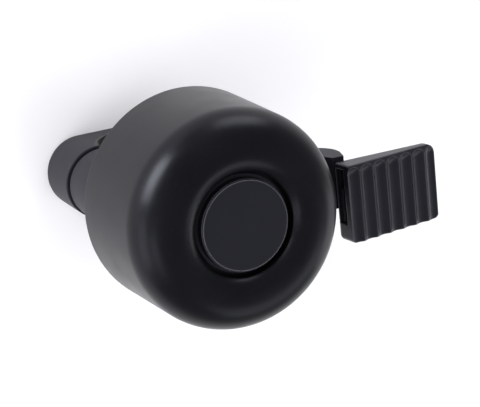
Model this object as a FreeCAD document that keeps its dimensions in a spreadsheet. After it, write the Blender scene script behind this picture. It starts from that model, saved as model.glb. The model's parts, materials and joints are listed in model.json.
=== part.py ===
"""Handlebar bicycle bell: deep dome, rocking thumb lever and two-half bar clamp.

Millimetres, +Z up.  The origin is the centre of the handlebar bore, on the plane
where the clamp splits.  The bar runs along Y, the dome's axis is Z and the thumb
lever points along +X.
"""
import FreeCAD, Part
import math
import os

import Sketcher
from FreeCAD import Placement, Rotation, Vector

os.makedirs("parts", exist_ok=True)
doc = FreeCAD.newDocument("bicycle_bell")

# ---------------------------------------------------------------- driving dimensions
DIMENSIONS = {
    # handlebar and clamp
    "bar_radius": 11.1, "liner_wall": 1.0, "liner_gap": 0.2, "clamp_reach": 21.4,
    "clamp_round": 9.6, "clamp_gap": 1.2, "clamp_depth": 16.8, "clamp_edge": 1.5,
    "split_edge": 0.4, "upper_inset": 0.4, "block_top": 17.0,
    # clamp screws and nuts
    "screw_offset": 15.6, "screw_radius": 2.0, "screw_play": 0.06, "hole_play": 0.15,
    "head_radius": 3.4, "head_length": 4.0, "head_edge": 0.3, "head_room": 0.5,
    "head_lift": 0.05, "seat_level": 9.0, "washer_wall": 0.8, "washer_rim": 0.4,
    "nut_level": 10.5, "nut_length": 3.2, "nut_flats": 7.0, "nut_play": 0.1,
    "screw_key": 3.0, "screw_key_depth": 2.2, "screw_tip": 0.5,
    # base disc and its ears
    "disc_radius": 22.5, "disc_under": 21.5, "disc_top": 24.5, "disc_flare": 2.5,
    "lip_height": 0.5, "lip_wall": 1.2, "neck_radius": 11.0, "neck_foot": 15.0,
    "neck_curve": 11.0, "ear_wall": 2.5, "ear_round": 3.4, "ear_root": 2.6, "ear_foot": 22.7,
    "slot_depth": 3.3, "side_play": 0.3,
    # dome
    "rim_level": 28.0, "rim_radius": 27.0, "shoulder_radius": 26.15, "shoulder_level": 24.2,
    "shoulder_round": 9.0, "roll_start": 16.4, "recess_radius": 12.3, "recess_edge": 31.1,
    "floor_level": 28.6, "sheet_wall": 1.2, "roll_inside": 0.8, "rim_round": 0.5,
    "seat_hole": 2.3,
    # cap over the dome screw
    "cap_radius": 10.85, "cap_top": 31.7, "flange_radius": 11.7, "flange_top": 29.4,
    "cap_chamfer": 0.35, "cap_roof": 0.6, "washer_radius": 6.4, "dome_washer_hole": 2.15,
    # post and its fastenings
    "post_radius": 4.0, "foot_radius": 5.6, "foot_height": 1.4, "stud_radius": 2.5,
    "stud_end": 14.6, "stud_play": 0.05, "isolator_radius": 6.0, "isolator_under": 0.8,
    "isolator_over": 0.5, "steel_washer": 0.5, "pan_height": 1.4, "pan_radius": 3.6,
    "pan_edge": 0.5, "pan_key": 2.5, "pan_key_depth": 0.9, "dome_screw_length": 9.6,
    "thread_lead": 0.4, "thread_depth": 9.0, "pocket_radius": 5.2, "pocket_top": 19.0,
    "stud_nut_flats": 8.0, "stud_nut_length": 3.2, "stud_washer_radius": 4.9,
    "stud_washer_wall": 0.8, "stud_washer_play": 0.1,
    # lever
    "pivot_x": 19.0, "pivot_z": 27.5, "pin_radius": 1.5, "pin_play": 0.05, "hub_radius": 3.6,
    "lever_y": -1.5, "lever_width": 13.0, "arm_under": 22.6, "arm_over": 26.8,
    "arm_foot": 2.0, "heel_reach": 5.4, "heel_lift": 0.35, "heel_run": 2.2, "heel_back": 0.9,
    "ramp_foot": 26.8, "ramp_end_x": 33.0, "ramp_end_z": 28.2, "knuckle_round": 9.0,
    "knuckle_x": 37.5, "knuckle_low": 35.0, "knuckle_high": 37.0, "rim_gap_x": 28.6,
    "rim_gap_z": 28.7, "spring_room": 6.0, "spring_play": 0.5, "tab_wall": 2.0,
    "tab_face": 18.2, "tab_top": 37.0, "tab_width": 8.0, "tab_step": 0.4,
    # thumb pad
    "pad_x": 33.6, "pad_y": -5.8, "pad_z": 47.9, "pad_length": 26.5, "pad_width": 19.8,
    "pad_depth": 6.8, "pad_taper": 0.15, "pad_tilt": 6.0, "pad_front": 2.2, "pad_back": 1.2,
    "pad_tip_round": 2.8, "pad_low_round": 1.2, "pad_mouth_round": 0.6, "pad_back_round": 1.4,
    "pad_face_round": 0.4, "flute_pitch": 3.96, "flute_radius": 2.85, "flute_depth": 0.8,
    "flute_border": 0.55, "hollow_low": -5.4, "hollow_high": 8.6, "hollow_end": 15.1,
    "mouth_block_top": 3.4, "mouth_block_wall": 1.5, "mouth_block_start": 0.7,
    "tongue_start": 2.6, "tongue_play": 0.05, "neck_start": 1.4, "neck_end": 3.3,
    "neck_low": 2.4, "neck_high": 8.2, "neck_play": 0.1, "plate_start": 0.4,
    # pivot pin and clip
    "pin_head": 0.9, "pin_head_radius": 2.3, "pin_overrun": 1.6, "groove_radius": 1.15,
    "groove_width": 0.6, "clip_radius": 2.4, "clip_bore": 1.2, "clip_wall": 0.5,
    "clip_mouth": 0.8,
    # striker and return spring
    "strip_wall": 0.5, "strip_width": 6.0, "strip_top": 46.0, "strip_overlap": 4.6,
    "strike_level": 44.0, "slug_radius": 3.0, "slug_tip": 21.3, "slug_dome": 1.0,
    "slug_curve": 5.0, "tail_radius": 1.9, "tail_height": 0.7, "tail_shank": 1.3,
    "rivet_radius": 1.0, "rivet_spread": 3.6, "rivet_drop": 2.2, "rivet_flange": 1.7,
    "rivet_crown": 1.3, "rivet_head": 0.6, "coil_radius": 2.35, "wire_radius": 0.35,
    "coil_turns": 4.0, "coil_pitch": 1.0, "leg_length": 5.0,
}

sheet = doc.addObject("Spreadsheet::Sheet", "Dimensions")
for row, (alias, number) in enumerate(DIMENSIONS.items(), start=1):
    sheet.set(f"A{row}", alias)
    sheet.set(f"B{row}", str(number))
    sheet.setAlias(f"B{row}", alias)
doc.recompute()


class Size:
    """A size that carries its number and the sheet expression that gives it."""

    def __init__(self, number, text):
        self.number = number
        self.text = text

    def join(self, other, sign, swap=False):
        first, second = (of(other), self) if swap else (self, of(other))
        number = {"+": first.number + second.number, "-": first.number - second.number,
                  "*": first.number * second.number}[sign]
        return Size(number, f"({first.text} {sign} {second.text})")

    def __add__(self, other): return self.join(other, "+")
    def __radd__(self, other): return self.join(other, "+", True)
    def __sub__(self, other): return self.join(other, "-")
    def __rsub__(self, other): return self.join(other, "-", True)
    def __mul__(self, other): return self.join(other, "*")
    def __rmul__(self, other): return self.join(other, "*", True)
    def __neg__(self): return self.join(-1, "*")


def of(value):
    """A plain number as a Size."""
    return value if isinstance(value, Size) else Size(float(value), repr(float(value)))


class Sheet:
    """The sheet's cells as Sizes, by alias."""

    def __getattr__(self, alias):
        return Size(float(sheet.get(alias)), f"Dimensions.{alias}")


d = Sheet()


def bind(obj, **sizes):
    """Bind named properties of an object to sizes from the sheet."""
    for name, size in sizes.items():
        obj.setExpression(name.replace("__", "."), of(size).text)


def place(obj, x=0, y=0, z=0):
    """Bind an object's position to sizes from the sheet."""
    bind(obj, Placement__Base__x=x, Placement__Base__y=y, Placement__Base__z=z)


# ---------------------------------------------------------------- sketches and features
def start_body(label):
    body = doc.addObject("PartDesign::Body", label)
    body.Label = label
    return body


def add_sketch(body, role, offset=0, along=0):
    """An empty sketch on one of the body's own origin planes, moved along its normal and x."""
    sketch = body.newObject("Sketcher::SketchObject", "Sketch")
    planes = {feature.Role: feature for feature in body.Origin.OriginFeatures}
    sketch.AttachmentSupport = (planes[role], [""])
    sketch.MapMode = "FlatFace"
    bind(sketch, AttachmentOffset__Base__z=offset, AttachmentOffset__Base__x=along)
    return sketch


def pin_point(sketch, index, end, point):
    """Fix one sketch point at a pair of sizes."""
    for kind, size in zip(("DistanceX", "DistanceY"), point):
        number = sketch.addConstraint(Sketcher.Constraint(kind, index, end, of(size).number))
        bind(sketch, **{f"Constraints[{number}]": size})


def arc_between(start, end, radius):
    """The short arc from start to end; a positive radius turns left, a negative one right."""
    chord = end - start
    left = Vector(-chord.y, chord.x, 0).normalize()
    rise = math.sqrt(radius ** 2 - (chord.Length / 2) ** 2) * math.copysign(1, radius)
    centre = (start + end) * 0.5 + left * rise
    angles = [math.atan2(p.y - centre.y, p.x - centre.x) for p in (start, end)]
    if radius < 0:
        angles.reverse()
    return Part.ArcOfCircle(Part.Circle(centre, Vector(0, 0, 1), abs(radius)), *angles)


def draw_outline(sketch, corners):
    """A closed outline.  Each corner is (x, y) or (x, y, radius of the arc that leaves it)."""
    points = [Vector(of(c[0]).number, of(c[1]).number, 0) for c in corners]
    ends = []
    for corner, start, end in zip(corners, points, points[1:] + points[:1]):
        if len(corner) == 3:
            radius = of(corner[2])
            index = sketch.addGeometry(arc_between(start, end, radius.number))
            ends.append((index, 1, 2) if radius.number > 0 else (index, 2, 1))
            number = sketch.addConstraint(
                Sketcher.Constraint("Radius", index, abs(radius.number)))
            bind(sketch, **{f"Constraints[{number}]": radius if radius.number > 0 else -radius})
        else:
            ends.append((sketch.addGeometry(Part.LineSegment(start, end)), 1, 2))
    for (index, _, last), (following, first, _) in zip(ends, ends[1:] + ends[:1]):
        sketch.addConstraint(Sketcher.Constraint("Coincident", index, last, following, first))
    for (index, first, _), corner in zip(ends, corners):
        pin_point(sketch, index, first, corner[:2])


def draw_circle(sketch, x, y, radius):
    centre = Vector(of(x).number, of(y).number, 0)
    index = sketch.addGeometry(Part.Circle(centre, Vector(0, 0, 1), of(radius).number))
    pin_point(sketch, index, 3, (x, y))
    number = sketch.addConstraint(Sketcher.Constraint("Radius", index, of(radius).number))
    bind(sketch, **{f"Constraints[{number}]": radius})


def draw_hexagon(sketch, x, y, flats):
    """A hexagon given across its flats, with two corners along x."""
    reach = flats * (1 / math.sqrt(3))
    corners = [(x + reach * round(math.cos(math.radians(60 * k)), 9),
                y + reach * round(math.sin(math.radians(60 * k)), 9)) for k in range(6)]
    draw_outline(sketch, corners)


def stadium(reach, rounding):
    """Corners of a slot shape along x with half-round ends."""
    flat = reach - rounding
    near = -1 * rounding
    return [(flat, near, rounding), (reach, 0, rounding), (flat, rounding),
            (-flat, rounding, rounding), (-reach, 0, rounding), (-flat, near)]


def add_feature(body, kind, sketch, **sizes):
    feature = body.newObject("PartDesign::" + kind, kind)
    feature.Profile = sketch
    sketch.Visibility = False
    bind(feature, **sizes)
    body.Tip = feature
    return feature


def spin(body, corners, kind="Revolution"):
    """Turn an outline in the XZ plane once round the body's Z axis."""
    sketch = add_sketch(body, "XZ_Plane")
    draw_outline(sketch, corners)
    feature = add_feature(body, kind, sketch)
    feature.ReferenceAxis = (sketch, ["V_Axis"])
    feature.Angle = 360
    return feature


def prism(body, role, corners, length, offset=0, kind="Pad", both_ways=False):
    """Pad or pocket a closed outline by a length."""
    sketch = add_sketch(body, role, offset)
    draw_outline(sketch, corners)
    feature = add_feature(body, kind, sketch, Length=length)
    feature.Midplane = both_ways
    return feature


def box_corners(x_low, x_high, y_low, y_high):
    return [(x_low, y_low), (x_high, y_low), (x_high, y_high), (x_low, y_high)]


def drill(body, role, circles, length, offset=0, both_ways=False, reverse=False):
    """Pocket one or more round holes."""
    sketch = add_sketch(body, role, offset)
    for circle in circles:
        draw_circle(sketch, *circle)
    feature = add_feature(body, "Pocket", sketch, Length=length)
    feature.Midplane = both_ways
    feature.Reversed = reverse
    return feature


def round_edges(body, wanted, size, kind="Fillet"):
    """Fillet or chamfer the edges of the body's tip that pass a test."""
    doc.recompute()
    base = body.Tip
    names = [f"Edge{n}" for n, edge in enumerate(base.Shape.Edges, start=1) if wanted(edge)]
    feature = body.newObject("PartDesign::" + kind, kind)
    feature.Base = (base, names)
    bind(feature, **{"Radius" if kind == "Fillet" else "Size": size})
    body.Tip = feature
    return feature


def level_edge(level, tolerance=1e-4):
    """A test for edges that lie wholly at one height."""
    def check(edge):
        box = edge.BoundBox
        return abs(box.ZMin - level.number) < tolerance and abs(box.ZMax - level.number) < tolerance
    return check


# ---------------------------------------------------------------- clamp and base
def screw_spots(radius):
    return [(d.screw_offset, 0, radius), (-d.screw_offset, 0, radius)]


bore_radius = d.bar_radius + d.liner_wall
half_gap = d.clamp_gap * 0.5
hole_radius = d.screw_radius + d.hole_play
ear_inner = d.lever_width * 0.5 + d.side_play
ear_outer = ear_inner + d.ear_wall
THROUGH = 80
FLUTE_COUNT = 7


def make_clamp_lower():
    body = start_body("clamp_lower")
    block = prism(body, "XY_Plane", stadium(d.clamp_reach, d.clamp_round),
                  d.clamp_depth - half_gap, offset=-half_gap)
    block.Reversed = True
    round_edges(body, level_edge(-d.clamp_depth), d.clamp_edge)
    round_edges(body, level_edge(-half_gap), d.split_edge)
    drill(body, "XZ_Plane", [(0, 0, bore_radius)], THROUGH, both_ways=True)
    drill(body, "XY_Plane", screw_spots(hole_radius), THROUGH, both_ways=True)
    drill(body, "XY_Plane", screw_spots(d.head_radius + d.head_room), THROUGH,
          offset=-d.seat_level)
    return body


def base_disc_profile():
    """Disc with a raised lip, flaring out of the neck below it."""
    inner_lip = d.disc_radius - d.lip_wall
    lip_top = d.disc_top + d.lip_height
    return [(0, d.neck_foot), (d.neck_radius, d.neck_foot, -d.neck_curve),
            (d.disc_radius - d.disc_flare, d.disc_under), (d.disc_radius, d.disc_under + 1.0),
            (d.disc_radius, lip_top), (inner_lip, lip_top), (inner_lip, d.disc_top),
            (0, d.disc_top)]


def ear_profile():
    """Side outline of a pivot ear, round at the top about the pin."""
    return [(d.pivot_x - d.ear_round, d.ear_foot), (d.pivot_x + d.ear_root, d.ear_foot),
            (d.pivot_x + d.ear_round, d.pivot_z, d.ear_round),
            (d.pivot_x, d.pivot_z + d.ear_round, d.ear_round),
            (d.pivot_x - d.ear_round, d.pivot_z)]


def make_base():
    body = start_body("base")
    reach = d.clamp_reach - d.upper_inset
    flank = d.clamp_round - d.upper_inset
    prism(body, "XY_Plane", stadium(reach, flank), d.block_top - half_gap, offset=half_gap)
    round_edges(body, level_edge(half_gap), d.split_edge)
    spin(body, base_disc_profile())
    slot = prism(body, "XY_Plane",
                 box_corners(d.pivot_x - d.ear_root, d.disc_radius + 1.0,
                             d.lever_y - ear_inner, d.lever_y + ear_inner),
                 THROUGH, offset=d.disc_top - d.slot_depth, kind="Pocket")
    slot.Reversed = True
    for side in (1, -1):
        middle = d.lever_y + side * (ear_inner + ear_outer) * 0.5
        prism(body, "XZ_Plane", ear_profile(), d.ear_wall, offset=-middle, both_ways=True)
    drill(body, "XZ_Plane", [(d.pivot_x, d.pivot_z, d.pin_radius)], THROUGH, both_ways=True)
    drill(body, "XZ_Plane", [(0, 0, bore_radius)], THROUGH, both_ways=True)
    drill(body, "XY_Plane", screw_spots(hole_radius), d.nut_level + d.nut_length, reverse=True)
    for side in (1, -1):
        sketch = add_sketch(body, "XY_Plane", d.block_top)
        draw_hexagon(sketch, side * d.screw_offset, 0, d.nut_flats + d.nut_play)
        add_feature(body, "Pocket", sketch, Length=d.block_top - d.nut_level)
    drill(body, "XY_Plane", [(0, 0, d.stud_radius + d.stud_play)], THROUGH, reverse=True)
    drill(body, "XY_Plane", [(0, 0, d.pocket_radius)], d.pocket_top, reverse=True)
    return body


def make_liner(label, side, width):
    """Half of the soft sleeve between the bar and one clamp half."""
    body = start_body(label)
    inner = d.bar_radius
    low = half_gap + d.liner_gap
    ends = [math.sqrt(r.number ** 2 - low.number ** 2) for r in (inner, bore_radius)]
    corners = [(ends[1], low), (ends[0], low), (0, inner), (-ends[0], low),
               (-ends[1], low), (0, bore_radius)]
    corners = [(x, side * y) for x, y in corners]
    turn = [None, side * inner, side * inner, None, -side * bore_radius, -side * bore_radius]
    outline = [c if r is None else (c[0], c[1], r) for c, r in zip(corners, turn)]
    prism(body, "XZ_Plane", outline, width, both_ways=True)
    return body


def make_clamp_screw(label, side):
    """Socket-head screw, head down in the lower half."""
    body = start_body(label)
    seat = -d.seat_level - d.washer_wall - d.head_lift
    head = seat - d.head_length
    end = d.nut_level + d.nut_length
    spin(body, [(0, head), (d.head_radius - d.head_edge, head),
                (d.head_radius, head + d.head_edge), (d.head_radius, seat),
                (d.screw_radius, seat), (d.screw_radius, end),
                (d.screw_radius - d.screw_tip, end + d.screw_tip), (0, end + d.screw_tip)])
    sketch = add_sketch(body, "XY_Plane", head)
    draw_hexagon(sketch, 0, 0, d.screw_key)
    add_feature(body, "Pocket", sketch, Length=d.screw_key_depth).Reversed = True
    place(body, x=side * d.screw_offset)
    return body


def ring(name, outer, inner, bottom, height, x=0):
    """A flat ring as a body of its own."""
    body = start_body(name)
    sketch = add_sketch(body, "XY_Plane", bottom)
    draw_circle(sketch, 0, 0, outer)
    draw_circle(sketch, 0, 0, inner)
    add_feature(body, "Pad", sketch, Length=height)
    place(body, x=x)
    return body


def hex_nut(name, flats, inner, bottom, height, x=0):
    """A hexagon nut with a plain bore."""
    body = start_body(name)
    sketch = add_sketch(body, "XY_Plane", bottom)
    draw_hexagon(sketch, 0, 0, flats)
    draw_circle(sketch, 0, 0, inner)
    add_feature(body, "Pad", sketch, Length=height)
    place(body, x=x)
    return body


def group(label, members):
    """Identical pieces that share one node."""
    compound = doc.addObject("Part::Compound", label)
    compound.Links = members
    compound.Label = label
    return compound


def make_clamp_nuts():
    return group("clamp_nuts", [
        hex_nut("nut_piece", d.nut_flats, d.screw_radius + d.screw_play, d.nut_level,
                d.nut_length, side * d.screw_offset) for side in (1, -1)])


def make_clamp_washers():
    return group("clamp_washers", [
        ring("washer_piece", d.head_radius + d.washer_rim, hole_radius,
             -d.seat_level - d.washer_wall, d.washer_wall, side * d.screw_offset)
        for side in (1, -1)])


# ---------------------------------------------------------------- dome, cap and post
def dome_profile():
    """Section of the spun shell: wall, shoulder, crown, rolled-in edge and seat."""
    rim = d.rim_level
    wall = d.sheet_wall
    crown = rim + d.shoulder_level + d.shoulder_round
    turn = d.shoulder_radius - d.shoulder_round
    drop = crown - rim - d.recess_edge
    inward = d.roll_start - d.recess_radius
    half = math.atan2(drop.number, inward.number)
    roll = inward * (1 / math.sin(2 * half))
    sine = math.sin(2 * half)
    cosine = math.cos(2 * half)
    inner_edge = (d.roll_start - (roll - wall) * sine, crown - roll + (roll - wall) * cosine)
    floor = rim + d.floor_level
    return [(d.rim_radius, rim), (d.shoulder_radius, rim + d.shoulder_level, d.shoulder_round),
            (turn, crown), (d.roll_start, crown, roll),
            (d.recess_radius, rim + d.recess_edge), (d.recess_radius, floor),
            (d.seat_hole, floor), (d.seat_hole, floor - wall),
            (d.recess_radius + wall, floor - wall),
            (d.recess_radius + wall, inner_edge[1] - d.roll_inside),
            (*inner_edge, -(roll - wall)),
            (d.roll_start, crown - wall), (turn, crown - wall, -(d.shoulder_round - wall)),
            (d.shoulder_radius - wall, rim + d.shoulder_level), (d.rim_radius - wall, rim)]


def make_dome():
    body = start_body("dome")
    spin(body, dome_profile())
    round_edges(body, level_edge(d.rim_level), d.rim_round)
    return body


def make_dome_cap():
    """Flanged cap that hides the dome screw and grips the washer under its head."""
    body = start_body("dome_cap")
    seat = d.rim_level + d.floor_level
    top = d.rim_level + d.cap_top
    step = d.rim_level + d.flange_top
    spin(body, [(d.washer_radius, seat), (d.flange_radius, seat), (d.flange_radius, step),
                (d.cap_radius, step), (d.cap_radius, top - d.cap_chamfer),
                (d.cap_radius - d.cap_chamfer, top), (0, top), (0, top - d.cap_roof),
                (d.washer_radius, top - d.cap_roof)])
    return body


def make_dome_screw():
    body = start_body("dome_screw")
    seat = d.rim_level + d.floor_level + d.isolator_over + d.steel_washer
    top = seat + d.pan_height
    tip = seat - d.dome_screw_length
    spin(body, [(0, tip), (d.screw_radius - d.thread_lead, tip),
                (d.screw_radius, tip + d.thread_lead), (d.screw_radius, seat),
                (d.pan_radius, seat), (d.pan_radius, top - d.pan_edge),
                (d.pan_radius - d.pan_edge, top), (0, top)])
    sketch = add_sketch(body, "XY_Plane", top)
    draw_hexagon(sketch, 0, 0, d.pan_key)
    add_feature(body, "Pocket", sketch, Length=d.pan_key_depth)
    return body


def make_post():
    """Threaded pillar from the base disc to the underside of the dome's seat."""
    body = start_body("post")
    top = d.rim_level + d.floor_level - d.sheet_wall - d.isolator_under
    inner = d.screw_radius
    spin(body, [(0, d.stud_end), (d.stud_radius - d.thread_lead, d.stud_end),
                (d.stud_radius, d.stud_end + d.thread_lead), (d.stud_radius, d.disc_top),
                (d.foot_radius, d.disc_top), (d.foot_radius, d.disc_top + d.foot_height),
                (d.post_radius, d.disc_top + d.foot_height), (d.post_radius, top),
                (inner, top), (inner, top - d.thread_depth), (0, top - d.thread_depth)])
    return body


def make_dome_stack():
    """Washers above and below the dome's seat."""
    floor = d.rim_level + d.floor_level
    ring("isolator_lower", d.isolator_radius, d.seat_hole,
         floor - d.sheet_wall - d.isolator_under, d.isolator_under)
    ring("isolator_upper", d.isolator_radius, d.seat_hole, floor, d.isolator_over)
    ring("dome_washer", d.washer_radius, d.dome_washer_hole, floor + d.isolator_over,
         d.steel_washer)


def make_post_fastening():
    nut_top = d.pocket_top - d.stud_washer_wall
    ring("post_washer", d.stud_washer_radius, d.stud_radius + d.stud_washer_play, nut_top,
         d.stud_washer_wall)
    hex_nut("post_nut", d.stud_nut_flats, d.stud_radius, nut_top - d.stud_nut_length,
            d.stud_nut_length)


# ---------------------------------------------------------------- lever and pad
tilt = math.radians(DIMENSIONS["pad_tilt"])
tilt_sine = Size(math.sin(tilt), "sin(Dimensions.pad_tilt * 1 deg)")
tilt_cosine = Size(math.cos(tilt), "cos(Dimensions.pad_tilt * 1 deg)")


def on_pad(along, under):
    """X and Z of a point given along the pad's tilted face and below it."""
    return (d.pad_x + along * tilt_cosine - under * tilt_sine,
            d.pad_z - along * tilt_sine - under * tilt_cosine)


def pad_under(along, inset=0):
    """Depth below the face of the pad's sloping back, less an inset."""
    return d.pad_depth - d.pad_taper * along - inset


def pad_block(along_low, along_high, under_low, inset):
    """A wedge in the pad's own axes, from one depth to an inset from the sloping back."""
    return [on_pad(along_low, pad_under(along_low, inset)),
            on_pad(along_high, pad_under(along_high, inset)),
            on_pad(along_high, under_low), on_pad(along_low, under_low)]


def lever_side_profile():
    """Side outline: hub, arm that dips under the rim, ramp and the knuckle under the pad."""
    heel = d.pivot_x - d.heel_reach
    heel_under = d.disc_top + d.heel_lift
    hub_top = d.pivot_z + d.hub_radius
    tab_back = d.tab_face - d.tab_wall
    return [(heel, heel_under), (d.pivot_x - d.heel_run, heel_under),
            (d.pivot_x, d.pivot_z - d.hub_radius), (d.pivot_x + d.arm_foot, d.arm_under),
            (d.ramp_foot, d.arm_under), (d.ramp_end_x, d.ramp_end_z, d.knuckle_round),
            (d.knuckle_x, d.knuckle_low), (d.knuckle_x, d.knuckle_high),
            on_pad(d.neck_end, pad_under(d.neck_end)),
            on_pad(d.plate_start, pad_under(d.plate_start)),
            (d.rim_gap_x, d.rim_gap_z), (d.rim_radius, d.arm_over),
            (d.pivot_x + d.hub_radius, d.arm_over),
            (d.pivot_x + d.hub_radius, d.pivot_z, d.hub_radius),
            (d.pivot_x, hub_top), (d.tab_face, hub_top), (d.tab_face, d.tab_top),
            (tab_back, d.tab_top), (tab_back, d.pivot_z), (heel, d.pivot_z - d.heel_back)]


def pad_prism(body, outline, low, high):
    """Pad an outline between two distances across the thumb pad from its middle line."""
    return prism(body, "XZ_Plane", outline, high - low, offset=-d.pad_y - (low + high) * 0.5,
                 both_ways=True)


def make_lever():
    body = start_body("lever")
    prism(body, "XZ_Plane", lever_side_profile(), d.lever_width, offset=-d.lever_y, both_ways=True)
    low = d.hollow_low + d.tongue_play
    high = d.hollow_high - d.tongue_play
    front = d.pad_front + d.tongue_play
    inset = d.pad_back + d.tongue_play
    block_front = pad_under(d.mouth_block_start, inset) - d.mouth_block_wall
    pad_prism(body, pad_block(d.tongue_start, d.hollow_end - d.neck_play, front, inset), low, high)
    pad_prism(body, pad_block(d.mouth_block_start, d.tongue_start + 1.0, block_front, inset),
              low, d.mouth_block_top)
    pad_prism(body, pad_block(d.neck_start, d.neck_end, block_front, -0.5),
              d.neck_low, d.neck_high)
    drill(body, "XZ_Plane", [(d.pivot_x, d.pivot_z, d.pin_radius + d.pin_play)], THROUGH,
          both_ways=True)
    coil_room = d.coil_radius + d.wire_radius + d.spring_play
    drill(body, "XZ_Plane", [(d.pivot_x, d.pivot_z, coil_room)], d.spring_room,
          offset=-d.lever_y, both_ways=True)
    leg_room = d.leg_length + 1.0
    prism(body, "XZ_Plane",
          box_corners(d.pivot_x - leg_room, d.pivot_x + leg_room, d.arm_under - 1.0,
                      d.pivot_z - d.coil_radius + d.wire_radius + d.pin_play),
          d.spring_room, offset=-d.lever_y, kind="Pocket", both_ways=True)
    side_cut = (d.lever_width - d.tab_width) * 0.5
    for side in (1, -1):
        middle = d.lever_y + side * (d.lever_width - side_cut) * 0.5
        prism(body, "XZ_Plane",
              box_corners(d.tab_face - d.tab_wall - 1.0, d.tab_face + 1.0,
                          d.pivot_z + d.hub_radius + d.tab_step, d.tab_top + 1.0),
              side_cut, offset=-middle, kind="Pocket", both_ways=True)
    drill(body, "YZ_Plane", rivet_spots(), d.tab_wall + 1.0,
          offset=d.tab_face - d.tab_wall - 0.5, reverse=True)
    return body


def rivet_spots():
    """Centres and radius of the rivet holes, in Y and Z."""
    return [(d.lever_y + side * d.rivet_spread * 0.5, d.tab_top - d.rivet_drop, d.rivet_radius)
            for side in (1, -1)]


def cut_flutes(block):
    """Hollows across the pad's face, each with a round end short of the far edge."""
    far = (d.pad_width - d.flute_pitch) * 0.5 - d.flute_border
    first = (d.pad_length - d.flute_pitch * (FLUTE_COUNT - 1)) * 0.5
    sketch = add_sketch(block, "XY_Plane", d.flute_radius - d.flute_depth, first)
    draw_outline(sketch, [(0, -d.pad_width), (d.flute_radius, -d.pad_width),
                          (d.flute_radius, far, d.flute_radius), (0, far + d.flute_radius)])
    groove = add_feature(block, "Groove", sketch)
    groove.ReferenceAxis = (sketch, ["V_Axis"])
    groove.Angle = 360
    pattern = block.newObject("PartDesign::LinearPattern", "LinearPattern")
    pattern.Originals = [groove]
    pattern.Direction = (sketch, ["H_Axis"])
    bind(pattern, Length=d.flute_pitch * (FLUTE_COUNT - 1))
    pattern.Occurrences = FLUTE_COUNT
    block.Tip = pattern


def pad_outline(along_low, along_high, under_low, inset):
    """A wedge like pad_block, in the thumb pad's own X and Z."""
    return [(along_low, -pad_under(along_low, inset)), (along_high, -pad_under(along_high, inset)),
            (along_high, -under_low), (along_low, -under_low)]


def make_thumb_pad():
    """Hollow fluted pad, thin at its tip, snapped over the lever's tongue."""
    block = start_body("thumb_pad")
    half = d.pad_width * 0.5
    prism(block, "XZ_Plane", pad_outline(0, d.pad_length, 0, 0), d.pad_width, both_ways=True)
    far = d.pad_length.number
    side = half.number

    def upright(edge, x, y):
        box = edge.BoundBox
        return (box.XLength < 1e-4 and box.YLength < 1e-4 and box.ZLength > 1
                and abs(box.XMin - x) < 1e-4 and abs(box.YMin - y) < 1e-4)

    def back(edge):
        middle = edge.CenterOfMass
        return middle.z < -1e-4 - 0.9 * pad_under(of(middle.x)).number
    round_edges(block, lambda edge: upright(edge, far, side), d.pad_tip_round)
    round_edges(block, lambda edge: upright(edge, far, -side) or upright(edge, 0, -side),
                d.pad_low_round)
    round_edges(block, lambda edge: upright(edge, 0, side), d.pad_mouth_round)
    round_edges(block, back, d.pad_back_round)
    round_edges(block, level_edge(of(0)), d.pad_face_round)
    prism(block, "XZ_Plane", pad_outline(-1, d.hollow_end, d.pad_front, d.pad_back),
          d.hollow_high - d.hollow_low, offset=-(d.hollow_low + d.hollow_high) * 0.5,
          kind="Pocket", both_ways=True)
    slot = box_corners(d.neck_start - d.neck_play, d.neck_end + d.neck_play,
                       d.neck_low - d.neck_play, d.neck_high + d.neck_play)
    prism(block, "XY_Plane", slot, d.pad_depth - d.pad_front, offset=-d.pad_front - 1.0,
          kind="Pocket")
    cut_flutes(block)
    block.Placement = Placement(Vector(), Rotation(Vector(0, 1, 0), DIMENSIONS["pad_tilt"]))
    place(block, d.pad_x, d.pad_y, d.pad_z)
    bind(block, Placement__Rotation__Angle=d.pad_tilt)
    return block


def make_lever_pin():
    """Headed pivot pin, pressed into the ears, with a groove for its clip."""
    end = 2 * ear_outer + d.pin_overrun + d.pin_head
    groove_end = end - d.groove_width
    groove_start = groove_end - d.groove_width
    body = start_body("lever_pin")
    spin(body, [(0, 0), (d.pin_head_radius, 0), (d.pin_head_radius, d.pin_head),
                (d.pin_radius, d.pin_head), (d.pin_radius, groove_start),
                (d.groove_radius, groove_start), (d.groove_radius, groove_end),
                (d.pin_radius, groove_end), (d.pin_radius, end), (0, end)])
    body.Placement = Placement(Vector(), Rotation(Vector(1, 0, 0), 90))
    place(body, d.pivot_x, d.lever_y + ear_outer + d.pin_head, d.pivot_z)
    return body


def make_pin_clip():
    """Open spring clip in the pin's groove."""
    body = start_body("pin_clip")
    groove_far = d.pin_overrun - d.groove_width
    sketch = add_sketch(body, "XZ_Plane", ear_outer - d.lever_y + groove_far - d.pin_play)
    draw_circle(sketch, d.pivot_x, d.pivot_z, d.clip_radius)
    draw_circle(sketch, d.pivot_x, d.pivot_z, d.clip_bore)
    add_feature(body, "Pad", sketch, Length=d.clip_wall).Reversed = True
    prism(body, "XZ_Plane",
          box_corners(d.pivot_x - d.clip_mouth, d.pivot_x + d.clip_mouth, d.pivot_z,
                      d.pivot_z + d.clip_radius + 1.0),
          THROUGH, kind="Pocket", both_ways=True)
    return body


# ---------------------------------------------------------------- striker and return spring
def make_hammer_strip():
    """Spring-steel blade riveted to the lever's tab."""
    body = start_body("hammer_strip")
    foot = d.tab_top - d.strip_overlap
    prism(body, "XZ_Plane", box_corners(d.tab_face, d.tab_face + d.strip_wall, foot, d.strip_top),
          d.strip_width, offset=-d.lever_y, both_ways=True)
    drill(body, "YZ_Plane", rivet_spots() + [(d.lever_y, d.strike_level, d.tail_shank)],
          THROUGH, reverse=True)
    return body


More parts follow.
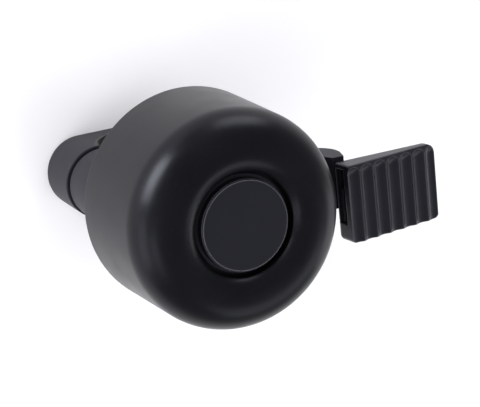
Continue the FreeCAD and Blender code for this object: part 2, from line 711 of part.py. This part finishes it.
def make_hammer_head():
    """Turned striker with a domed nose, its tail peened over behind the blade."""
    body = start_body("hammer_head")
    face = d.strip_wall
    nose = d.slug_tip - d.tab_face
    spin(body, [(0, -d.tail_height), (d.tail_radius, -d.tail_height), (d.tail_radius, 0),
                (d.tail_shank, 0), (d.tail_shank, face), (d.slug_radius, face),
                (d.slug_radius, nose - d.slug_dome, d.slug_curve), (0, nose)])
    body.Placement = Placement(Vector(), Rotation(Vector(0, 0, 1), Vector(1, 0, 0)))
    place(body, d.tab_face, d.lever_y, d.strike_level)
    return body


def make_hammer_rivets():
    """Two rivets through the tab and the blade."""
    pieces = []
    grip = d.tab_wall + d.strip_wall
    for side in (1, -1):
        rivet = start_body("rivet_piece")
        spin(rivet, [(0, -d.rivet_head), (d.rivet_crown, -d.rivet_head), (d.rivet_flange, 0),
                     (d.rivet_radius, 0), (d.rivet_radius, grip), (d.rivet_flange, grip),
                     (d.rivet_crown, grip + d.rivet_head), (0, grip + d.rivet_head)])
        rivet.Placement = Placement(Vector(), Rotation(Vector(0, 0, 1), Vector(1, 0, 0)))
        place(rivet, d.tab_face - d.tab_wall, d.lever_y + side * d.rivet_spread * 0.5,
              d.tab_top - d.rivet_drop)
        pieces.append(rivet)
    return group("hammer_rivets", pieces)


def make_return_spring():
    """Torsion spring round the pin: one leg on the disc, the other under the arm."""
    mean = d.coil_radius.number
    wire = d.wire_radius.number
    length = d.coil_pitch.number * d.coil_turns.number
    ring = [Vector(mean + wire * math.cos(math.radians(a)), 0, wire * math.sin(math.radians(a)))
            for a in range(0, 361, 45)]
    helix = Part.Wire(Part.makeHelix(d.coil_pitch.number, length, mean))
    coil = helix.makePipeShell([Part.makePolygon(ring)], True, True)
    leg = d.leg_length.number
    legs = [Part.makeCylinder(wire, leg, Vector(mean, start, level), Vector(0, 1, 0))
            for start, level in ((-leg, 0), (0, length))]
    spring = doc.addObject("Part::Feature", "return_spring")
    spring.Label = "return_spring"
    spring.Shape = Part.Compound([coil, *legs])
    spring.Placement = Placement(
        Vector(d.pivot_x.number, d.lever_y.number + length / 2, d.pivot_z.number),
        Rotation(Vector(0, 0, -1), Vector(1, 0, 0), Vector(0, -1, 0), "XYZ"))
    return spring


# ---------------------------------------------------------------- build, check and export
def make_all():
    make_clamp_lower()
    make_base()
    make_liner("bar_liner_upper", 1, 2 * (d.clamp_round - d.upper_inset))
    make_liner("bar_liner_lower", -1, 2 * d.clamp_round)
    make_clamp_screw("clamp_screw_right", 1)
    make_clamp_screw("clamp_screw_left", -1)
    make_clamp_nuts()
    make_clamp_washers()
    make_dome()
    make_dome_cap()
    make_dome_screw()
    make_dome_stack()
    make_post()
    make_post_fastening()
    make_lever()
    make_thumb_pad()
    make_lever_pin()
    make_pin_clip()
    make_hammer_strip()
    make_hammer_head()
    make_hammer_rivets()
    make_return_spring()


NODES = [
    "dome", "dome_cap", "dome_screw", "dome_washer", "isolator_upper", "isolator_lower",
    "post", "post_washer", "post_nut", "base", "clamp_lower", "clamp_screw_right",
    "clamp_screw_left", "clamp_nuts", "clamp_washers", "bar_liner_upper", "bar_liner_lower",
    "lever", "thumb_pad", "lever_pin", "pin_clip", "hammer_strip", "hammer_head",
    "hammer_rivets", "return_spring",
]


def check_document():
    """Stop on any failed object or unusable shape before writing files."""
    problems = [f"{obj.Name} in {[o.Label for o in obj.InList]}" for obj in doc.Objects
                if "Invalid" in obj.State or "Error" in obj.State]
    for label in NODES:
        shape = doc.getObjectsByLabel(label)[0].Shape
        if shape.isNull() or not shape.isValid() or not shape.Solids:
            problems.append(f"{label} has no valid solid")
    if problems:
        raise RuntimeError("; ".join(problems))


make_all()
doc.recompute()
check_document()
for label in NODES:
    shape = doc.getObjectsByLabel(label)[0].Shape
    shape.exportStep(f"parts/{label}.step")
    box = shape.BoundBox
    print(f"{label}: solids {len(shape.Solids)}, volume {shape.Volume:.1f}, "
          f"X {box.XMin:.1f}..{box.XMax:.1f}, Y {box.YMin:.1f}..{box.YMax:.1f}, "
          f"Z {box.ZMin:.1f}..{box.ZMax:.1f}")
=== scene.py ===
"""Looks for the handlebar bell: finishes, still copies of its two springs, studio light and camera round
the CAD.
"""
import json
import math

import bpy
from mathutils import Matrix, Vector

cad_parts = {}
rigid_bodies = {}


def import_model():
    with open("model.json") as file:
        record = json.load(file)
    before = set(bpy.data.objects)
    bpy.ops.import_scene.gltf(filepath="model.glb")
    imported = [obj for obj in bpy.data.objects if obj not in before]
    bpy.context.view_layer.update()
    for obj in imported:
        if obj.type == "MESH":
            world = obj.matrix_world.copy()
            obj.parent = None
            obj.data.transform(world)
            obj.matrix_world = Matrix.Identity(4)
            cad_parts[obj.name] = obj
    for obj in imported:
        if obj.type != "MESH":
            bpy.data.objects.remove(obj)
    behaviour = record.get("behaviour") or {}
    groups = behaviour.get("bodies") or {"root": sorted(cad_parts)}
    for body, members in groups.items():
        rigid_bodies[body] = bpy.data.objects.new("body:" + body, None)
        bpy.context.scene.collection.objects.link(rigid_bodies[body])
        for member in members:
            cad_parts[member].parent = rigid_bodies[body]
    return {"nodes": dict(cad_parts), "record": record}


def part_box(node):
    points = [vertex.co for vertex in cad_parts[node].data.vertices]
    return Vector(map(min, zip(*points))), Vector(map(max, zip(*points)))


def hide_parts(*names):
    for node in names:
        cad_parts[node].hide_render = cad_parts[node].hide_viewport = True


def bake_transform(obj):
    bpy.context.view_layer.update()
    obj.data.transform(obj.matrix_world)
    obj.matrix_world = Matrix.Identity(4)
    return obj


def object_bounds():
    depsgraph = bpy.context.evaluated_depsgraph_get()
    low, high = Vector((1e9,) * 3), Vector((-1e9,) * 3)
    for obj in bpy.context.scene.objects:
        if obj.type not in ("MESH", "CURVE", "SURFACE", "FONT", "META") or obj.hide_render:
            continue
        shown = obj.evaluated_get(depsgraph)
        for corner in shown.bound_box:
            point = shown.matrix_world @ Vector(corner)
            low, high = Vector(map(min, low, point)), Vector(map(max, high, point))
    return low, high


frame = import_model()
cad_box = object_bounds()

MM = 0.001
nodes = frame["nodes"]

# ---------------------------------------------------------------- node graph helper
# A colour Mix node has several sockets called A, B and Result. These are the colour ones.
COLOUR_A = 6
COLOUR_B = 7
COLOUR_RESULT = 2

BEVEL_SAMPLES = 6

# The painted edge highlight follows how far the rounded normal turns from the true one: 1 is a face,
# less is an edge.
HIGHLIGHT_STARTS = 0.985
HIGHLIGHT_FULL = 0.90
HIGHLIGHT_FADE = 0.2 * MM
BELOW_EVERYTHING = -1.0


class Graph:
    """A material's node tree, built by short calls."""

    def __init__(self, name):
        self.material = bpy.data.materials.new(name)
        self.material.use_nodes = True
        self.tree = self.material.node_tree
        self.shader = self.tree.nodes["Principled BSDF"]
        self.place = self.add("ShaderNodeTexCoord").outputs["Object"]

    def add(self, kind, inputs=None, **settings):
        """Add a node, with its settings and with values or links for its sockets."""
        node = self.tree.nodes.new(kind)
        for name, value in settings.items():
            setattr(node, name, value)
        for name, value in (inputs or {}).items():
            if isinstance(value, bpy.types.NodeSocket):
                self.tree.links.new(value, node.inputs[name])
            else:
                node.inputs[name].default_value = value
        return node

    def set(self, **values):
        """Set or link sockets of the shader; underscores stand for spaces."""
        for name, value in values.items():
            socket = self.shader.inputs[name.replace("_", " ")]
            if isinstance(value, bpy.types.NodeSocket):
                self.tree.links.new(value, socket)
            else:
                socket.default_value = value

    def noise(self, size_mm, detail=2.0, roughness=0.5, stretch=(1, 1, 1)):
        """Noise whose features are about size_mm across, longer where stretch is under 1."""
        mapped = self.add("ShaderNodeMapping", {"Vector": self.place, "Scale": stretch})
        return self.add("ShaderNodeTexNoise", {
            "Vector": mapped.outputs["Vector"], "Scale": 1 / (size_mm * MM), "Detail": detail,
            "Roughness": roughness}).outputs["Fac"]

    def ramp(self, value, low, high, start=0.0, end=1.0):
        """Map a value from one range to another."""
        return self.add("ShaderNodeMapRange", {
            "Value": value, "From Min": low, "From Max": high, "To Min": start,
            "To Max": end}).outputs["Result"]

    def mix(self, factor, first, second):
        """Blend two colours."""
        blend = self.add("ShaderNodeMix", {"Factor": factor, COLOUR_A: first, COLOUR_B: second},
                         data_type="RGBA")
        return blend.outputs[COLOUR_RESULT]

    def bump(self, height, depth_mm, strength=1.0, normal=None):
        """Normals raised by a height, on top of other normals if they are given."""
        inputs = {"Height": height, "Distance": depth_mm * MM, "Strength": strength}
        if normal is not None:
            inputs["Normal"] = normal
        return self.add("ShaderNodeBump", inputs).outputs["Normal"]

    def soft_edge(self, radius_mm):
        """Normals rounded over sharp edges, as a moulded or painted edge has."""
        return self.add("ShaderNodeBevel", {"Radius": radius_mm * MM},
                        samples=BEVEL_SAMPLES).outputs["Normal"]

    def painted_edge_highlight(self, rounded, lowest):
        """Mask for the painted highlight lines on edges: one on the brink of a sharp edge above the
        lowest height, and zero on open faces.
        """
        flat = self.add("ShaderNodeNewGeometry").outputs["Normal"]
        likeness = self.add("ShaderNodeVectorMath", {0: rounded, 1: flat},
                            operation="DOT_PRODUCT").outputs["Value"]
        height = self.add("ShaderNodeSeparateXYZ", {"Vector": self.place}).outputs["Z"]
        reach = self.ramp(height, lowest, lowest + HIGHLIGHT_FADE)
        return self.add("ShaderNodeMath", {0: self.ramp(likeness, HIGHLIGHT_STARTS, HIGHLIGHT_FULL), 1: reach},
                        operation="MULTIPLY").outputs["Value"]


# ---------------------------------------------------------------- finishes
COOL_TINT = (0.86, 0.90, 1.0, 1.0)
TARNISH = 0.72
# Band below the cap's top in which a painted highlight line goes round the rim.
CAP_RIM = 0.6 * MM


def grey(level, blue=1.3):
    """A near-black or grey colour with its blue raised."""
    return (level, level * 0.98, level * blue, 1.0)


def satin_paint():
    """Sprayed black paint: orange peel, faint gloss drift and a little settled dust."""
    g = Graph("satin_black_paint")
    drift = g.noise(size_mm=9, detail=3)
    dust = g.ramp(g.noise(size_mm=0.22, detail=1), low=0.72, high=0.80)
    coat = g.mix(drift, grey(0.0022), grey(0.0038))
    g.set(Base_Color=g.mix(dust, coat, grey(0.03)),
          Roughness=g.ramp(drift, low=0.3, high=0.7, start=0.28, end=0.35),
          IOR=1.27, Specular_Tint=COOL_TINT)
    peel = g.bump(g.noise(size_mm=0.9), depth_mm=0.004, strength=0.6, normal=g.soft_edge(0.15))
    g.set(Normal=g.bump(dust, depth_mm=0.006, strength=0.4, normal=peel))
    return g.material


def moulded_plastic(name, level, roughness, grain_mm=0.16, grain_depth=0.006, edge_mm=0.18,
                    ior=1.22, edge_highlight_tone=0.03, highlight_above=BELOW_EVERYTHING):
    """Moulded black plastic: spark-eroded grain, flow tone, softened edges, and pale lines painted on
    the edges as highlights.
    """
    g = Graph(name)
    flow = g.noise(size_mm=6, detail=3, stretch=(1, 0.5, 1))
    grain = g.noise(size_mm=grain_mm, roughness=0.7)
    rounded = g.soft_edge(edge_mm)
    skin = g.mix(flow, grey(level * 0.8), grey(level * 1.25))
    # The pale edges are a painted highlight along every sharp edge, not wear.
    g.set(Base_Color=g.mix(g.painted_edge_highlight(rounded, highlight_above), skin, grey(edge_highlight_tone, blue=1.15)),
          Roughness=g.ramp(grain, low=0.3, high=0.7, start=roughness - 0.05, end=roughness + 0.06),
          IOR=ior, Specular_Tint=COOL_TINT)
    g.set(Normal=g.bump(grain, depth_mm=grain_depth, strength=0.7, normal=rounded))
    return g.material


def plated_steel(name, tone, roughness, stretch):
    """Plated steel with fine drawing lines and slight tarnish."""
    g = Graph(name)
    lines = g.noise(size_mm=0.12, detail=3, roughness=0.6, stretch=stretch)
    tarnish = g.noise(size_mm=2.5, detail=4, roughness=0.6)
    dark = tuple(channel * TARNISH for channel in tone[:3]) + (1.0,)
    g.set(Base_Color=g.mix(g.ramp(tarnish, low=0.45, high=0.75), tone, dark), Metallic=1.0,
          Roughness=g.ramp(lines, low=0.3, high=0.7, start=roughness - 0.07, end=roughness + 0.09))
    g.set(Normal=g.bump(lines, depth_mm=0.003, strength=0.5, normal=g.soft_edge(0.08)))
    return g.material


def soft_rubber():
    """Matt black rubber with a pebbled skin and chalky bloom."""
    g = Graph("soft_black_rubber")
    bloom = g.noise(size_mm=3, detail=4, roughness=0.6)
    pebble = g.noise(size_mm=0.25)
    g.set(Base_Color=g.mix(bloom, grey(0.012, blue=1.0), grey(0.03, blue=1.0)), Roughness=0.8)
    g.set(Normal=g.bump(pebble, depth_mm=0.02, strength=0.6))
    return g.material


def milky_nylon():
    """Natural nylon: warm white, waxy and slightly translucent."""
    g = Graph("milky_nylon")
    cloud = g.noise(size_mm=2, detail=3)
    g.set(Base_Color=g.mix(cloud, (0.62, 0.60, 0.53, 1), (0.72, 0.70, 0.64, 1)),
          Roughness=0.42, Subsurface_Weight=0.15, Subsurface_Scale=0.6 * MM)
    g.set(Normal=g.bump(g.noise(size_mm=0.3), depth_mm=0.005, strength=0.5,
                        normal=g.soft_edge(0.1)))
    return g.material


FINISHES = {
    "dome_paint": satin_paint(),
    # The cap's pale rim is a painted highlight line, in place of the key lamps' reflection, which the
    # cap does not get.
    "cap_plastic": moulded_plastic(
        "cap_black_plastic", level=0.0075, roughness=0.36, grain_mm=0.2, grain_depth=0.004,
        edge_mm=0.45, ior=1.4, edge_highlight_tone=0.22, highlight_above=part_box("dome_cap")[1].z - CAP_RIM),
    "base_plastic": moulded_plastic("base_black_plastic", level=0.013, roughness=0.44),
    "clamp_plastic": moulded_plastic("clamp_black_plastic", level=0.013, roughness=0.44),
    "lever_plastic": moulded_plastic("lever_black_plastic", level=0.012, roughness=0.42),
    # The pad's pale edges and ridges are a painted highlight.
    "pad_plastic": moulded_plastic(
        "pad_black_plastic", level=0.008, roughness=0.31, grain_mm=0.14, grain_depth=0.004,
        edge_mm=0.45, ior=1.36, edge_highlight_tone=0.07),
    "fastener_steel": plated_steel("zinc_plated_steel", (0.50, 0.51, 0.53, 1), 0.32, (1, 1, 0.15)),
    "spring_steel": plated_steel("blued_spring_steel", (0.30, 0.31, 0.34, 1), 0.28, (1, 0.2, 1)),
    "striker_steel": plated_steel("turned_steel", (0.56, 0.55, 0.53, 1), 0.25, (0.2, 1, 1)),
    "post_steel": plated_steel("turned_post_steel", (0.48, 0.49, 0.50, 1), 0.3, (0.2, 0.2, 1)),
    "isolator_nylon": milky_nylon(),
    "liner_rubber": soft_rubber(),
}


def dress_nodes():
    """Give every CAD node its slot's finish."""
    slots = {part["node"]: part["material_slot"] for part in frame["record"]["subparts"]}
    for name, node in nodes.items():
        node.data.materials.clear()
        node.data.materials.append(FINISHES[slots[name]])
        for face in node.data.polygons:
            face.material_index = 0


def make_flexing_piece(name, node):
    """A still copy of a dressed, springy CAD node, shown in place of the node, which is hidden."""
    piece = bpy.data.objects.new(name, nodes[node].data.copy())
    bpy.context.scene.collection.objects.link(piece)
    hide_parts(node)
    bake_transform(piece)


def make_flexing_pieces():
    """Still copies of the return spring and of the striker's blade."""
    make_flexing_piece("winding_spring", "return_spring")
    make_flexing_piece("bending_blade", "hammer_strip")


# ---------------------------------------------------------------- camera
# BACK points from the bell to the camera, and AIM is the spot at the middle of the picture.
CAMERA_BACK = Vector((-0.38977, 0.29070, 0.87383))
CAMERA_UP = Vector((0.21915, 0.95089, -0.21859))
CAMERA_AIM = Vector((13.15, -4.95, 28.3)) * MM
CAMERA_DISTANCE = 371 * MM
LENS = 112.5


def camera_axes():
    """Unit vectors to the camera's right, up and back."""
    back = CAMERA_BACK.normalized()
    right = CAMERA_UP.cross(back).normalized()
    return right, back.cross(right), back


def make_camera():
    """The scene's camera."""
    right, up, back = camera_axes()
    data = bpy.data.cameras.new("camera")
    data.lens = LENS
    data.clip_start = 0.01
    data.clip_end = 20
    camera = bpy.data.objects.new("camera", data)
    turn = Matrix((right, up, back)).transposed().to_4x4()
    camera.matrix_world = Matrix.Translation(CAMERA_AIM + back * CAMERA_DISTANCE) @ turn
    bpy.context.scene.collection.objects.link(camera)
    bpy.context.scene.camera = camera


# ---------------------------------------------------------------- floor and light
FLOOR_SIZE = 6.0


def make_floor():
    """A pale floor at the bell's lowest point."""
    low = cad_box[0].z
    half = FLOOR_SIZE / 2
    mesh = bpy.data.meshes.new("floor")
    corners = [(-half, -half, low), (half, -half, low), (half, half, low), (-half, half, low)]
    mesh.from_pydata(corners, [], [(0, 1, 2, 3)])
    floor = bpy.data.objects.new("floor", mesh)
    bpy.context.scene.collection.objects.link(floor)
    g = Graph("pale_floor")
    g.set(Base_Color=g.mix(g.noise(size_mm=400), (0.86, 0.86, 0.86, 1), (0.9, 0.9, 0.9, 1)),
          Roughness=0.9, Specular_IOR_Level=0.1)
    mesh.materials.append(g.material)


ROOM_COLOUR = (0.93, 0.96, 1.0, 1.0)
ROOM_STRENGTH = 0.38


def make_world():
    """An even white room."""
    world = bpy.data.worlds.new("studio")
    world.use_nodes = True
    background = world.node_tree.nodes["Background"]
    background.inputs["Color"].default_value = ROOM_COLOUR
    background.inputs["Strength"].default_value = ROOM_STRENGTH
    bpy.context.scene.world = world


LIGHT_DISTANCE = 0.6
LIGHT_CENTRE = Vector((0.0, 0.0, 0.04))
LIGHT_COLOUR = (1.0, 0.99, 1.02)


def add_softbox(name, azimuth, elevation, size, brightness, distance=LIGHT_DISTANCE, glossy=True,
                receivers=None):
    """A soft rectangular light that faces the bell. If receivers are given, it lights only them."""
    turn = math.radians(azimuth)
    rise = math.radians(elevation)
    away = Vector((math.cos(rise) * math.cos(turn), math.cos(rise) * math.sin(turn), math.sin(rise)))
    data = bpy.data.lights.new(name, "AREA")
    data.shape = "RECTANGLE"
    data.size, data.size_y = size
    data.energy = brightness * math.pi * size[0] * size[1]
    data.color = LIGHT_COLOUR
    light = bpy.data.objects.new(name, data)
    light.location = LIGHT_CENTRE + away * distance
    light.rotation_mode = "QUATERNION"
    light.rotation_quaternion = away.to_track_quat("Z", "Y")
    light.visible_glossy = glossy
    if receivers is not None:
        light.light_linking.receiver_collection = receivers
    bpy.context.scene.collection.objects.link(light)


def lit_collection(name, left_out):
    """Every mesh in the scene but the ones left out, for a light to fall on."""
    collection = bpy.data.collections.new(name)
    for thing in bpy.context.scene.objects:
        if thing.type == "MESH" and thing not in left_out:
            collection.objects.link(thing)
    return collection


def make_lights():
    """One matt panel overhead and six softboxes round the bell, which its dome mirrors.

    The two keys miss the cap, which would mirror them as plain white at low angles.
    """
    off_cap = lit_collection("lit_by_keys", [nodes["dome_cap"]])
    add_softbox("overhead", 0, 90, (3.0, 3.0), 1.05, distance=2.0, glossy=False)
    add_softbox("left_key", 142, 6, (0.36, 0.24), 18.0, receivers=off_cap)
    add_softbox("left_fill", 194, 9, (0.42, 0.26), 2.8)
    add_softbox("rear_key", 62, 6, (0.36, 0.24), 5.0, receivers=off_cap)
    add_softbox("left_high", 205, 37, (0.30, 0.20), 2.4)
    add_softbox("right_key", -24, 8, (0.28, 0.20), 2.4)
    add_softbox("right_fill", -56, 33, (0.55, 0.26), 1.6)


dress_nodes()
make_flexing_pieces()
make_camera()
make_floor()
make_world()
make_lights()
bpy.context.scene.view_settings.view_transform = "Standard"
